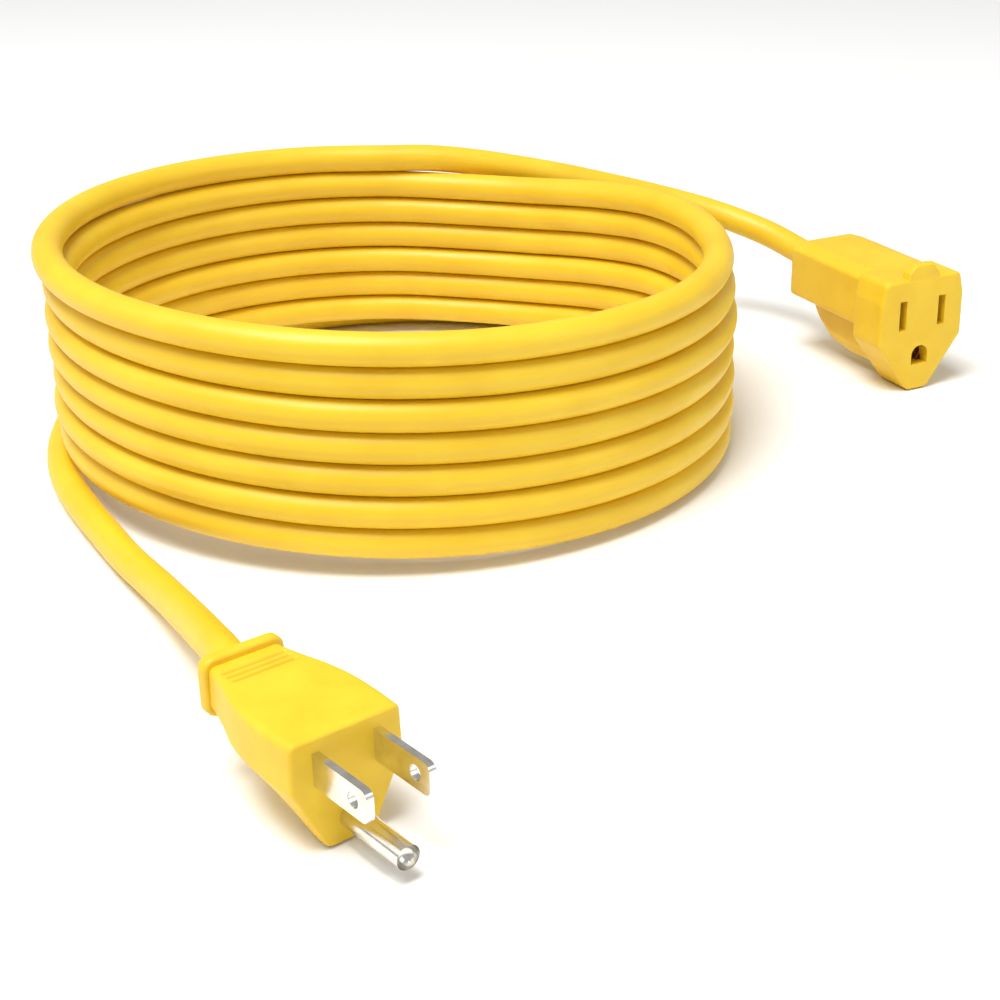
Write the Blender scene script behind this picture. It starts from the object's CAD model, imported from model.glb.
# %% [markdown]
# # A coiled extension cord
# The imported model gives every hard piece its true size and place. This lesson adds what the eye
# judges: one continuous vinyl cord, two moulded ends with soft edges, and materials with the
# grain that real vinyl, nickel plate and brass show.

# %% Load the frame
import math

import bmesh
import bpy
import numpy as np
from mathutils import Matrix


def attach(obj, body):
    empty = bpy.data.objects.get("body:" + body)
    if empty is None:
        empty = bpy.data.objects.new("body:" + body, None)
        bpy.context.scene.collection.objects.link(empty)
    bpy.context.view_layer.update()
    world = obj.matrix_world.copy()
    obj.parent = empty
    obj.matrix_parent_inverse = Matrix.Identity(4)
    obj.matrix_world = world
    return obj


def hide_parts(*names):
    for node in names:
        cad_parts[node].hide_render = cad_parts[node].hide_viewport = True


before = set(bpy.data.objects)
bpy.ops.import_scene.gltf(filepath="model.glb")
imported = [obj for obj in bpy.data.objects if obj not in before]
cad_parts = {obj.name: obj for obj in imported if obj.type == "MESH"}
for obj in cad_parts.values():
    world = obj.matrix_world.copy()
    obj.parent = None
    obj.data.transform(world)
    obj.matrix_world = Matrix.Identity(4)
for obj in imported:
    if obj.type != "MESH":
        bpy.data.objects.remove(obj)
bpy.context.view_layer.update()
MM = 0.001

# %% [markdown]
# ## The camera
# A camera is a place and three directions: right, up and back. Written as the columns of one
# matrix they set its turn exactly, with no angles to untangle.

# %% Camera
CAMERA_AT = (-58.5, -389.6, 187.0)
RIGHT = (0.99762, -0.06582, -0.02068)
UP = (0.04589, 0.40915, 0.91131)
BACK = (-0.05152, -0.91009, 0.41120)

scene = bpy.context.scene
camera_data = bpy.data.cameras.new("camera")
camera_data.lens = 67.32
camera_data.sensor_width = 36.0
camera_data.clip_start = 0.01
camera = bpy.data.objects.new("camera", camera_data)
scene.collection.objects.link(camera)
matrix = np.eye(4)
matrix[:3, 0], matrix[:3, 1], matrix[:3, 2] = RIGHT, UP, BACK
matrix[:3, 3] = np.array(CAMERA_AT) * MM
camera.matrix_world = Matrix(matrix.tolist())
scene.camera = camera
print("camera", [round(v, 3) for v in camera.location])

# %% [markdown]
# ## From numbers to a mesh
# Every new surface here is a grid: rings of points, one after another. One helper turns the grid
# into faces, and closes both ends with a single face, so the solid has no holes.

# %% Mesh helpers
def smooth_step(t):
    """3t^2 - 2t^3 between 0 and 1, level at both ends."""
    t = np.clip(t, 0.0, 1.0)
    return t * t * (3 - 2 * t)


def grid_faces(rows, columns):
    """Four-sided faces between neighbouring rings of a grid whose rings are closed."""
    row, column = np.meshgrid(np.arange(rows - 1), np.arange(columns), indexing="ij")
    following = (column + 1) % columns
    corners = [row * columns + column, row * columns + following,
               (row + 1) * columns + following, (row + 1) * columns + column]
    return np.stack(corners, -1).reshape(-1, 4)


def ring_solid(rings):
    """Points and faces of a closed solid from rings of shape (rows, columns, 3)."""
    rows, columns = rings.shape[:2]
    faces = grid_faces(rows, columns).tolist()
    faces.append(list(range(columns))[::-1])
    faces.append(list(range((rows - 1) * columns, rows * columns)))
    return rings.reshape(-1, 3), faces


def make_piece(name, solids, sharp_deg=38.0):
    """One object from a list of (points, faces), with its normals outward and hard edges kept."""
    points, faces, offset = [], [], 0
    for solid_points, solid_faces in solids:
        points.append(solid_points)
        faces += [[i + offset for i in face] for face in solid_faces]
        offset += len(solid_points)
    mesh = bpy.data.meshes.new(name)
    mesh.from_pydata((np.concatenate(points) * MM).tolist(), [], faces)
    piece = bpy.data.objects.new(name, mesh)
    scene.collection.objects.link(piece)
    outward(mesh)
    mesh.shade_smooth()
    mesh.set_sharp_from_angle(angle=math.radians(sharp_deg))
    print(name, len(mesh.vertices), "points", len(mesh.polygons), "faces")
    return piece


def outward(mesh):
    """Turns every face of each closed shell to look out."""
    work = bmesh.new()
    work.from_mesh(mesh)
    bmesh.ops.recalc_face_normals(work, faces=work.faces)
    work.to_mesh(mesh)
    work.free()


# %% [markdown]
# ## The cord's route
# The cord is one piece from plug to connector. Its coil is a helix with 24 points in each turn:
# seven turns stand on each other, tilted by one cord's thickness, because the last lap leaves the
# stack and runs under the raised side. The two loose ends are points placed by hand.

# %% Route of the cord
CORD_D = 7.6
COIL_R = 83.5
COIL_AT = np.array([-58.5, 70.5])
COIL_TURNS = 7
LAP_OUT, LAP_UNDER = 1.05, 0.5        # how far the last lap swings out, in cords
UNEVEN, UNEVEN_PER_TURN = 0.35, 0.41  # the stack's slight unevenness, in mm, and its pace
TOP_SLIP = 1.2                        # how far the top turn sits to one side, in mm
COIL_STEP = 15                        # degrees between the route's points: 24 to a turn
PLUG_AT, PLUG_TURN, PLUG_L = np.array([-70.0, -116.0, 17.0]), 215.0, 35.0
CONN_AT, CONN_TURN, CONN_L = np.array([84.5, 86.0, 22.0]), 202.0, 46.0
CORD_RISE = 1.0
PLUG_ROUTE = [
    (-145.8, 70.5, 3.8), (-144.8, 57, 3.8), (-142, 43, 3.8), (-138, 31, 3.8), (-133, 19, 3.8),
    (-127.5, 7, 3.8), (-121, -7, 4), (-111.5, -27, 6), (-103.5, -48.5, 10.5), (-97, -68.5, 15.5),
    (-93.3, -79, 17.6)]
CONN_ROUTE = [
    (-58.5, 154, 53.2), (-46, 154.8, 52.6), (-33.5, 155.7, 50.8), (-20, 157, 48), (-7.5, 158.3, 45),
    (5, 160, 41.5), (17.5, 160.8, 38), (28, 159.8, 35.2), (38, 157.5, 32.5), (46.5, 153.7, 30),
    (54.5, 147.8, 27.5), (61.3, 139.3, 25)]


def placed(points, at, turn_deg):
    """Points beside an end piece, turned about the vertical and moved to where the piece lies."""
    c, s = math.cos(math.radians(turn_deg)), math.sin(math.radians(turn_deg))
    turn = np.array([[c, -s, 0], [s, c, 0], [0, 0, 1]])
    return np.asarray(points, float) @ turn.T + at


def coil_points(angles):
    """Helix: one cord lower each turn, between 15 and 75 degrees past +X, on a tilted stack.

    The height is the turn's number in cords, plus half a cord times 1 - cos, minus the step. The
    last lap stays on the floor and swings out by up to one cord, then runs under the raised side.
    The top turn sits a little to one side, as a hand leaves it.
    """
    turn = np.floor((angles - 90) / 360) + 1
    local = angles - 360 * (turn - 1)
    lift = CORD_D * (1 - np.cos(np.radians(local))) / 2
    step = CORD_D * smooth_step((local - 375) / 60)
    stacked = (COIL_TURNS + 0.5 - turn) * CORD_D + lift - step
    past = angles - 360 * COIL_TURNS
    last = past > 0
    swing = LAP_OUT * np.sin(np.radians(past)) + LAP_UNDER * smooth_step((past - 120) / 60)
    uneven = UNEVEN * np.sin(np.radians(angles) * UNEVEN_PER_TURN)
    z = np.where(last, CORD_D / 2, stacked)
    radius = COIL_R + np.where(last, CORD_D * swing, uneven)
    slip = -TOP_SLIP * smooth_step((angles - 90) / 70) * (1 - smooth_step((angles - 400) / 80))
    x = COIL_AT[0] + radius * np.cos(np.radians(angles)) + slip
    y = COIL_AT[1] + radius * np.sin(np.radians(angles))
    return np.stack([x, y, z], -1)


def flowing(points, between=6):
    """Curve through the points: each stretch is a cubic whose ends share their neighbours' slope."""
    p = np.asarray(points, float)
    t = np.concatenate([[0], np.cumsum(np.linalg.norm(np.diff(p, axis=0), axis=1) ** 0.5)])
    slope = np.diff(p, axis=0) / np.diff(t)[:, None]
    middle = slope[:-1] + slope[1:] - (p[2:] - p[:-2]) / (t[2:] - t[:-2])[:, None]
    tangent = np.concatenate([slope[:1], middle, slope[-1:]])
    s = np.linspace(0, 1, between, endpoint=False)[None, :, None]
    h = np.diff(t)[:, None, None]
    p0, p1, m0, m1 = p[:-1, None], p[1:, None], tangent[:-1, None] * h, tangent[1:, None] * h
    curve = ((2 * s**3 - 3 * s**2 + 1) * p0 + (s**3 - 2 * s**2 + s) * m0
             + (3 * s**2 - 2 * s**3) * p1 + (s**3 - s**2) * m1)
    return np.concatenate([curve.reshape(-1, 3), p[-1:]])


plug_end = placed([[0, -PLUG_L, CORD_RISE]], PLUG_AT, PLUG_TURN)
conn_end = placed([[0, -CONN_L, CORD_RISE]], CONN_AT, CONN_TURN)
coil_angles = np.arange(360 * COIL_TURNS + 180 - COIL_STEP, 90 + 1, -float(COIL_STEP))
route = np.concatenate([plug_end, PLUG_ROUTE[::-1], coil_points(coil_angles), CONN_ROUTE, conn_end])
path = flowing(route)

# %% [markdown]
# ## The cord
# A tube is a circle carried along the route. Its own UV map holds the length along the cord and
# the way round it, so that grain and scuffs can run along the cord wherever it bends.

# %% Sweep the cord
CORD_SIDES = 28


def sweep(route_points, diameter, sides):
    """Rings round a path: centre + r (cos a * side + sin a * up), side level, up square to it."""
    along = np.gradient(route_points, axis=0)
    along /= np.linalg.norm(along, axis=1, keepdims=True)
    side = np.cross(along, [0, 0, 1.0])
    side /= np.linalg.norm(side, axis=1, keepdims=True)
    up = np.cross(side, along)
    a = np.linspace(0, 2 * np.pi, sides, endpoint=False)[None, :, None]
    round_it = np.cos(a) * side[:, None] + np.sin(a) * up[:, None]
    return route_points[:, None] + diameter / 2 * round_it


def unroll(piece, route_points, sides):
    """UV map in metres: first the length along the path, then the distance round the tube."""
    steps = np.linalg.norm(np.diff(route_points, axis=0), axis=1)
    length = np.concatenate([[0], np.cumsum(steps)]) * MM
    mesh = piece.data
    corner = np.empty(len(mesh.loops), int)
    mesh.loops.foreach_get("vertex_index", corner)
    row, column = corner // sides, corner % sides
    uv = np.stack([length[row], column / sides * math.pi * CORD_D * MM], -1)
    layer = mesh.uv_layers.new(name="cord_uv")
    layer.data.foreach_set("uv", uv.astype(np.float32).ravel())


cord = make_piece("extension_cord", [ring_solid(sweep(path, CORD_D, CORD_SIDES))])
unroll(cord, path, CORD_SIDES)
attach(cord, "root")
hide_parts("plug_tail", "cord_coil", "connector_tail")

# %% [markdown]
# ## Outlines with round corners
# Both moulded ends are sections carried along Y. A section is a few corners, each with its own
# radius, made into a ring of evenly spaced points. The same number of points in every ring lets
# the section change smoothly from the face to the cord.

# %% Section helpers
RING = 168
ARC = 10


def rounded_ring(corners):
    """Closed outline through corners (x, z, radius): straight sides joined by arcs, evenly spaced."""
    c = np.asarray(corners, float)
    p, r = c[:, :2], c[:, 2:3]
    back = np.roll(p, 1, 0) - p
    ahead = np.roll(p, -1, 0) - p
    back /= np.linalg.norm(back, axis=1, keepdims=True)
    ahead /= np.linalg.norm(ahead, axis=1, keepdims=True)
    half = np.arccos(np.clip((back * ahead).sum(1, keepdims=True), -1, 1)) / 2
    middle = p + (back + ahead) / np.linalg.norm(back + ahead, axis=1, keepdims=True) * r / np.sin(half)
    start = p + back * r / np.tan(half) - middle
    end = p + ahead * r / np.tan(half) - middle
    t = np.linspace(0, 1, ARC)[None, :, None]
    sweep_angle = np.pi - 2 * half[:, None]
    arc = (np.sin((1 - t) * sweep_angle) * start[:, None] + np.sin(t * sweep_angle) * end[:, None])
    arc = middle[:, None] + arc / np.sin(sweep_angle)
    line = arc.reshape(-1, 2)
    closed = np.concatenate([line, line[:1]])
    length = np.concatenate([[0], np.cumsum(np.linalg.norm(np.diff(closed, axis=0), axis=1))])
    at = np.linspace(0, length[-1], RING, endpoint=False)
    return np.stack([np.interp(at, length, closed[:, k]) for k in (0, 1)], -1)


def pulled_in(ring, distance):
    """The ring moved inward by a distance, square to itself."""
    along = np.roll(ring, -1, 0) - np.roll(ring, 1, 0)
    along /= np.linalg.norm(along, axis=1, keepdims=True)
    inward = np.stack([-along[:, 1], along[:, 0]], -1)
    area = np.sum(ring[:, 0] * np.roll(ring[:, 1], -1) - np.roll(ring[:, 0], -1) * ring[:, 1])
    return ring + inward * distance * np.sign(area)


def mirrored(right):
    """Corners for both sides from those of the right side, which run from top to bottom."""
    return right + [(-x, z, r) for x, z, r in right[::-1]]


def section_loft(section, y_front, y_back, edge_front, edge_back, middle_steps, extra=()):
    """Rings from front to back; at each end a quarter circle of the edge radius rounds the rim."""
    quarter = np.linspace(0, np.pi / 2, 6)
    front = [(y_front - edge_front * (1 - math.sin(a)), edge_front * (1 - math.cos(a)))
             for a in quarter[::-1]]
    back = [(y_back + edge_back * (1 - math.sin(a)), edge_back * (1 - math.cos(a)))
            for a in quarter]
    inner = np.linspace(y_front - edge_front, y_back + edge_back, middle_steps)[1:-1]
    inner = np.unique(np.concatenate([inner, extra]))[::-1]
    stations = front + [(y, 0.0) for y in inner] + back
    rings = []
    for y, inset in stations:
        ring = pulled_in(rounded_ring(section(y)), inset)
        rings.append(np.stack([ring[:, 0], np.full(RING, y), ring[:, 1]], -1))
    return np.array(rings)


def solid_at(rings, at, turn_deg):
    """A closed solid from rings drawn beside an end piece, moved to where the piece lies."""
    return ring_solid(placed(rings.reshape(-1, 3), at, turn_deg).reshape(rings.shape))


def eased(y, keys):
    """A size at y from (y, value) keys, joined by cubics that pass through every key."""
    where = np.array([k[0] for k in keys], float)
    what = np.array([k[1] for k in keys], float)
    slope = np.gradient(what, where)
    i = int(np.clip(np.searchsorted(where, y) - 1, 0, len(where) - 2))
    h = where[i + 1] - where[i]
    s = min(max((y - where[i]) / h, 0.0), 1.0)
    return ((2 * s**3 - 3 * s**2 + 1) * what[i] + (s**3 - 2 * s**2 + s) * h * slope[i]
            + (3 * s**2 - 2 * s**3) * what[i + 1] + (s**3 - s**2) * h * slope[i + 1])


# %% [markdown]
# ## The plug
# The plug is vinyl moulded over the blades: wide at its face, narrow at the neck, with a flat top,
# a rounded keel round the ground pin and three grip grooves. A thin flange behind it keeps the
# fingers from slipping. The grooves are pressed into the top of the same surface.

# %% Plug body
PLUG_WIDTH = [(-35, 7.6), (-32, 7.9), (-27, 9.0), (-20, 10.9), (-14, 11.8), (-8, 12.0), (0, 11.7)]
PLUG_UNDER = [(-35, -4.4), (-30, -4.6), (-25, -6.0), (-20, -8.9),
              (-14, -12.2), (-7, -15.4), (-3, -16.7), (0, -16.9)]
GROOVE_AT = (-28.9, -27.2, -25.5)
GROOVE_HALF = 7.0
GROOVE_DEPTH, GROOVE_WIDTH = 0.8, 0.32
PLUG_TOP = 5.95


def plug_section(y):
    w = eased(y, PLUG_WIDTH)
    under = eased(y, PLUG_UNDER)
    shoulder = max(-3.5, under * 0.45)
    keel = min(5.0, w * 0.62)
    return mirrored([(w - 0.3, PLUG_TOP, 1.3), (w, shoulder, 1.2), (keel, under, 2.2)])


def press_grooves(rings):
    """Lowers the flat top by depth * exp(-(distance / width)^2) at each groove, fading at its ends."""
    x, y, z = rings[..., 0], rings[..., 1], rings[..., 2]
    depth = sum(np.exp(-((y - at) / GROOVE_WIDTH) ** 2) for at in GROOVE_AT)
    fade = smooth_step((GROOVE_HALF - np.abs(x)) / 0.8) * (z > 5.0)
    rings[..., 2] = z - GROOVE_DEPTH * depth * fade
    return rings


def flange_section(y):
    return mirrored([(8.6, 7.4, 2.4), (8.6, -4.45, 2.4)])


groove_stations = np.arange(-30.2, -24.2, 0.17)
plug_rings = press_grooves(section_loft(plug_section, 0, -34, 0.7, 0.3, 30, groove_stations))
flange_rings = section_loft(flange_section, -32.2, -35, 0.7, 0.7, 4)
plug_shell = make_piece("plug_shell", [solid_at(r, PLUG_AT, PLUG_TURN) for r in (plug_rings, flange_rings)])
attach(plug_shell, "root")
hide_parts("plug_body")

# %% [markdown]
# ## The connector
# The connector is moulded in the same vinyl: a deep collar round the face, flat side panels with
# sloping shoulders behind it, a keel for the ground contact and a half-round marker on top. The
# slots are true holes, cut with thin blocks, so the dark insert and its contacts show inside.

# %% Connector body
COLLAR_L = 12.6
SLOT_X, SLOT_T, SLOT_H = 6.35, 2.3, 8.4
GROUND_DROP, GROUND_D = 11.9, 5.4
MARKER_R = 5.3
CUT_FROM, CUT_TO = -14, 2


def collar_section(y):
    return mirrored([(12.2, 9.95, 1.8), (13.6, 4, 5), (13.6, -7.9, 2.4), (3.2, -21.95, 2)])


def panel_section(y):
    return mirrored([(7.4, 9.9, 0.9), (12.2, 8.3, 1.0), (12.2, -5.7, 1.6)])


def keel_section(y):
    low = eased(y, [(-45.5, -6.0), (-42, -11.5), (-36, -16.2), (-28, -17.9), (-11, -18.0)])
    half = eased(y, [(-45.5, 5.0), (-40, 6.4), (-30, 7.0), (-11, 7.0)])
    side = low + min(4.0, 0.3 * (-low))
    return mirrored([(half, 0, 0.5), (half, side, 0.8), (0.62 * half, low, 1.2)])


def marker_section(y):
    arc = [(MARKER_R * math.cos(a) + 0.01, 9.2 + 5.2 * math.sin(a), 0.4) for a in np.radians([58, 26, 0])]
    return mirrored(arc + [(MARKER_R, 8.4, 0.3)])


collar = section_loft(collar_section, 0, -COLLAR_L, 0.9, 0.7, 6)
panels = section_loft(panel_section, -COLLAR_L + 1.5, -CONN_L, 0.3, 1.4, 12)
keel = section_loft(keel_section, -COLLAR_L + 1.5, -45.2, 0.3, 0.6, 24)
marker = section_loft(marker_section, -0.1, -3.6, 0.5, 0.8, 4)
conn_solids = [solid_at(r, CONN_AT, CONN_TURN) for r in (collar, panels, keel, marker)]
collar_piece = make_piece("connector_face", conn_solids[:1])
conn_shell = make_piece("connector_shell", conn_solids[1:])


def hole_cutter(outline):
    """An outline of (x, z) points carried along Y through the face, in the connector's place."""
    ring = np.array(outline, float)
    rings = np.array([np.stack([ring[:, 0], np.full(len(ring), y), ring[:, 1]], -1)
                      for y in (CUT_FROM, CUT_TO)])
    return solid_at(rings, CONN_AT, CONN_TURN)


def slot_outline(middle):
    """Four corners of a blade slot round its middle."""
    x0, x1 = middle - SLOT_T / 2, middle + SLOT_T / 2
    return [(x0, -SLOT_H / 2), (x1, -SLOT_H / 2), (x1, SLOT_H / 2), (x0, SLOT_H / 2)]


def ground_outline():
    """Half a circle above, two square corners below."""
    r = GROUND_D / 2
    over = [(r * math.cos(a), -GROUND_DROP + r * math.sin(a)) for a in np.radians(np.linspace(0, 180, 25))]
    return over + [(-r, -GROUND_DROP - r), (r, -GROUND_DROP - r)]


cutters = [hole_cutter(o) for o in (slot_outline(-SLOT_X), slot_outline(SLOT_X), ground_outline())]
cutter = make_piece("slot_cutter", cutters)
cut = collar_piece.modifiers.new("slots", "BOOLEAN")
cut.operation = "DIFFERENCE"
cut.solver = "EXACT"
cut.object = cutter
depsgraph = bpy.context.evaluated_depsgraph_get()
cut_mesh = bpy.data.meshes.new_from_object(collar_piece.evaluated_get(depsgraph))
collar_piece.modifiers.clear()
collar_piece.data = cut_mesh
cut_mesh.shade_smooth()
cut_mesh.set_sharp_from_angle(angle=math.radians(30))
bpy.data.objects.remove(cutter)
for piece in (collar_piece, conn_shell):
    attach(piece, "root")
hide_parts("connector_body")
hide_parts("connector_body")
print("connector face after cutting", len(cut_mesh.polygons), "faces")

# %% [markdown]
# ## Declaring the cord
# The frame needs the cord's true facts: where it leaves the plug, its length and its thickness,
# and what hangs on its far end.

WIRES = ("line", "neutral", "ground")

# %% [markdown]
# ## Materials
# A material starts from what the real thing is and how it was made. Colours are written as a
# screen shows them and turned linear by one function. One small helper adds a node with its
# settings and links, so each material reads from top to bottom.

# %% Material helpers
def linear(hex_colour):
    """A colour such as #F4D62A turned from screen values to linear ones."""
    channels = [int(hex_colour[i:i + 2], 16) / 255 for i in (1, 3, 5)]
    return [c / 12.92 if c <= 0.04045 else ((c + 0.055) / 1.055) ** 2.4 for c in channels] + [1.0]


def add(tree, kind, links=None, values=None, **settings):
    """Adds a node: settings are its properties, values its sockets, links the sockets fed to it."""
    item = tree.nodes.new(kind)
    for key, value in settings.items():
        setattr(item, key, value)
    for key, value in (values or {}).items():
        item.inputs[key].default_value = value
    for key, source in (links or {}).items():
        tree.links.new(source, item.inputs[key])
    return item


def new_material(name, **sockets):
    """A material with one Principled shader; sockets are set by their names, _ for a space."""
    material = bpy.data.materials.new(name)
    material.use_nodes = True
    tree = material.node_tree
    shader = tree.nodes["Principled BSDF"]
    for key, value in sockets.items():
        shader.inputs[key.replace("_", " ")].default_value = value
    return material, tree, shader


def mottle(tree, vector, per_metre, low, high, detail=3.0):
    """Two colours mixed by soft noise with so many blotches to the metre."""
    noise = add(tree, "ShaderNodeTexNoise", {"Vector": vector}, {"Scale": per_metre, "Detail": detail})
    ramp = add(tree, "ShaderNodeValToRGB", {"Fac": noise.outputs["Fac"]})
    ramp.color_ramp.elements[0].position, ramp.color_ramp.elements[0].color = 0.32, linear(low)
    ramp.color_ramp.elements[1].position, ramp.color_ramp.elements[1].color = 0.68, linear(high)
    return ramp.outputs["Color"]


def roughness_range(tree, vector, per_metre, low, high):
    """Roughness that wanders between two values, with so many patches to the metre."""
    noise = add(tree, "ShaderNodeTexNoise", {"Vector": vector}, {"Scale": per_metre, "Detail": 4.0})
    span = add(tree, "ShaderNodeMapRange", {"Value": noise.outputs["Fac"]},
               {"From Min": 0.3, "From Max": 0.7, "To Min": low, "To Max": high})
    return span.outputs["Result"]


def grain(tree, vector, per_metre, depth_mm, strength, below=None):
    """Fine bumps of a stated depth, on top of a coarser bump if one is given."""
    noise = add(tree, "ShaderNodeTexNoise", {"Vector": vector}, {"Scale": per_metre, "Detail": 5.0})
    bump = add(tree, "ShaderNodeBump", {"Height": noise.outputs["Fac"]},
               {"Strength": strength, "Distance": depth_mm * MM})
    if below is not None:
        tree.links.new(below, bump.inputs["Normal"])
    return bump.outputs["Normal"]


# %% [markdown]
# ## Yellow vinyl
# The jacket is soft PVC pushed through a die: smooth, satin, with fine lines along its length and
# slight waves where the wires inside press out. The moulded ends are the same vinyl from a
# tool with a fine spark finish, so they are a little duller.

# %% Vinyl materials
YELLOW_DEEP = "#E5BA20"
YELLOW_CLEAR = "#EAC328"


def jacket_vinyl():
    material, tree, shader = new_material("extruded_pvc_jacket", IOR=1.52, Specular_IOR_Level=0.45)
    uv = add(tree, "ShaderNodeUVMap", uv_map="cord_uv")
    drawn = add(tree, "ShaderNodeMapping", {"Vector": uv.outputs["UV"]}, {"Scale": (0.06, 1.0, 1.0)})
    place = add(tree, "ShaderNodeTexCoord").outputs["Object"]
    tree.links.new(mottle(tree, place, 60, YELLOW_DEEP, YELLOW_CLEAR), shader.inputs["Base Color"])
    satin = roughness_range(tree, drawn.outputs["Vector"], 900, 0.40, 0.50)
    tree.links.new(satin, shader.inputs["Roughness"])
    waves = grain(tree, uv.outputs["UV"], 90, 0.2, 0.15)
    lines = grain(tree, drawn.outputs["Vector"], 1400, 0.05, 0.35, waves)
    tree.links.new(lines, shader.inputs["Normal"])
    return material


def moulded_vinyl():
    material, tree, shader = new_material("moulded_pvc_spark_finish", IOR=1.52, Specular_IOR_Level=0.45)
    place = add(tree, "ShaderNodeTexCoord").outputs["Object"]
    tree.links.new(mottle(tree, place, 110, YELLOW_DEEP, YELLOW_CLEAR), shader.inputs["Base Color"])
    tree.links.new(roughness_range(tree, place, 500, 0.44, 0.54), shader.inputs["Roughness"])
    flow = grain(tree, place, 130, 0.2, 0.08)
    tree.links.new(grain(tree, place, 2600, 0.04, 0.4, flow), shader.inputs["Normal"])
    return material


jacket = jacket_vinyl()
vinyl = moulded_vinyl()
cord.data.materials.append(jacket)
for piece in (plug_shell, conn_shell):
    piece.data.materials.append(vinyl)
collar_piece.data.materials.clear()
collar_piece.data.materials.append(vinyl)

# %% [markdown]
# ## Metals
# The blades are brass with bright nickel plate, rolled flat and stamped, so faint lines run along
# them. The contacts are bare brass, and the wires are drawn copper.

# %% Metal materials
def drawn_metal(name, low, high, rough_low, rough_high):
    """A metal whose fine lines run one way, with a slight drift in colour."""
    material, tree, shader = new_material(name, Metallic=1.0)
    place = add(tree, "ShaderNodeTexCoord").outputs["Object"]
    turned = add(tree, "ShaderNodeMapping", {"Vector": place},
                 {"Rotation": (0, 0, math.radians(-PLUG_TURN)), "Scale": (1.0, 0.08, 1.0)})
    tree.links.new(mottle(tree, place, 300, low, high), shader.inputs["Base Color"])
    sheen = roughness_range(tree, turned.outputs["Vector"], 2500, rough_low, rough_high)
    tree.links.new(sheen, shader.inputs["Roughness"])
    tree.links.new(grain(tree, turned.outputs["Vector"], 3000, 0.02, 0.3), shader.inputs["Normal"])
    return material


def plain_plastic(name, low, high, rough):
    """Moulded plastic or wire insulation with slight colour drift and a fine grain."""
    material, tree, shader = new_material(name, IOR=1.5)
    place = add(tree, "ShaderNodeTexCoord").outputs["Object"]
    tree.links.new(mottle(tree, place, 200, low, high), shader.inputs["Base Color"])
    tree.links.new(roughness_range(tree, place, 600, rough - 0.05, rough + 0.07), shader.inputs["Roughness"])
    tree.links.new(grain(tree, place, 2200, 0.04, 0.35), shader.inputs["Normal"])
    return material


nickel = drawn_metal("nickel_plated_brass", "#D9D5CB", "#EDEAE2", 0.16, 0.26)
brass = drawn_metal("rolled_brass", "#B08A3C", "#CDA85A", 0.25, 0.4)
copper = drawn_metal("drawn_copper", "#B8683C", "#CF8254", 0.25, 0.4)
FINISHES = {
    "nickel": (nickel, ["plug_line_blade", "plug_neutral_blade", "plug_ground_pin"]),
    "brass": (brass, [f"connector_{wire}_contact" for wire in WIRES]),
    "copper": (copper, [f"{end}_{wire}_strands" for end in ("plug", "connector") for wire in WIRES]),
    "bridge": (plain_plastic("bridge_nylon", "#D8CFAF", "#E4DCC0", 0.5), ["plug_bridge"]),
    "core": (plain_plastic("olive_insert_plastic", "#3E2F0A", "#4A3A10", 0.6), ["connector_core"]),
    "black": (plain_plastic("black_pvc", "#151515", "#1E1E1E", 0.45),
              ["plug_line_insulation", "connector_line_insulation"]),
    "white": (plain_plastic("white_pvc", "#DCDCD6", "#E8E8E4", 0.45),
              ["plug_neutral_insulation", "connector_neutral_insulation"]),
    "green": (plain_plastic("green_pvc", "#0F5A26", "#17702F", 0.45),
              ["plug_ground_insulation", "connector_ground_insulation"]),
}
for finish, nodes in FINISHES.values():
    for name in nodes:
        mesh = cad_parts[name].data
        mesh.materials.clear()
        mesh.materials.append(finish)
print("finishes", {key: len(value[1]) for key, value in FINISHES.items()})

# %% [markdown]
# ## Floor and light
# A plain white floor and large soft lamps: one high in front for the bright tops, one on each
# side to open the shadows, and a pale world that fills the rest.

# %% Floor
floor_mesh = bpy.data.meshes.new("floor")
FLOOR_HALF = 6.0
floor_mesh.from_pydata([(-FLOOR_HALF, -FLOOR_HALF, 0), (FLOOR_HALF, -FLOOR_HALF, 0),
                        (FLOOR_HALF, FLOOR_HALF, 0), (-FLOOR_HALF, FLOOR_HALF, 0)], [], [(0, 1, 2, 3)])
floor = bpy.data.objects.new("floor", floor_mesh)
scene.collection.objects.link(floor)
FLOOR_DROP = 0.0002
floor.location.z = -FLOOR_DROP
paper, paper_tree, paper_shader = new_material("white_paper_floor", Roughness=0.9)
paper_shader.inputs["Base Color"].default_value = linear("#F4F4F2")
floor_mesh.materials.append(paper)

# %% Lights
def soft_lamp(name, at, aim, size, watts, colour="#FFFFFF"):
    """A square lamp at a place in metres, turned to face a point."""
    data = bpy.data.lights.new(name, "AREA")
    data.shape = "SQUARE"
    data.size = size
    data.energy = watts
    data.color = linear(colour)[:3]
    lamp = bpy.data.objects.new(name, data)
    scene.collection.objects.link(lamp)
    z = np.array(at, float) - np.array(aim, float)
    z /= np.linalg.norm(z)
    x = np.cross([0, 1, 0.01], z)
    x /= np.linalg.norm(x)
    turn = np.eye(4)
    turn[:3, 0], turn[:3, 1], turn[:3, 2], turn[:3, 3] = x, np.cross(z, x), z, at
    lamp.matrix_world = Matrix(turn.tolist())
    return lamp


soft_lamp("key", (-0.35, -0.35, 1.4), (0, 0, 0), 0.7, 25)
soft_lamp("left_fill", (-1.4, 0.1, 0.8), (0, 0, 0), 1.0, 3)
soft_lamp("right_fill", (1.3, -0.6, 0.8), (0, 0, 0), 1.0, 4)
world = bpy.data.worlds.new("studio")
world.use_nodes = True
world.node_tree.nodes["Background"].inputs["Color"].default_value = (1, 1, 1, 1)
world.node_tree.nodes["Background"].inputs["Strength"].default_value = 0.42
scene.world = world
scene.view_settings.view_transform = "Standard"
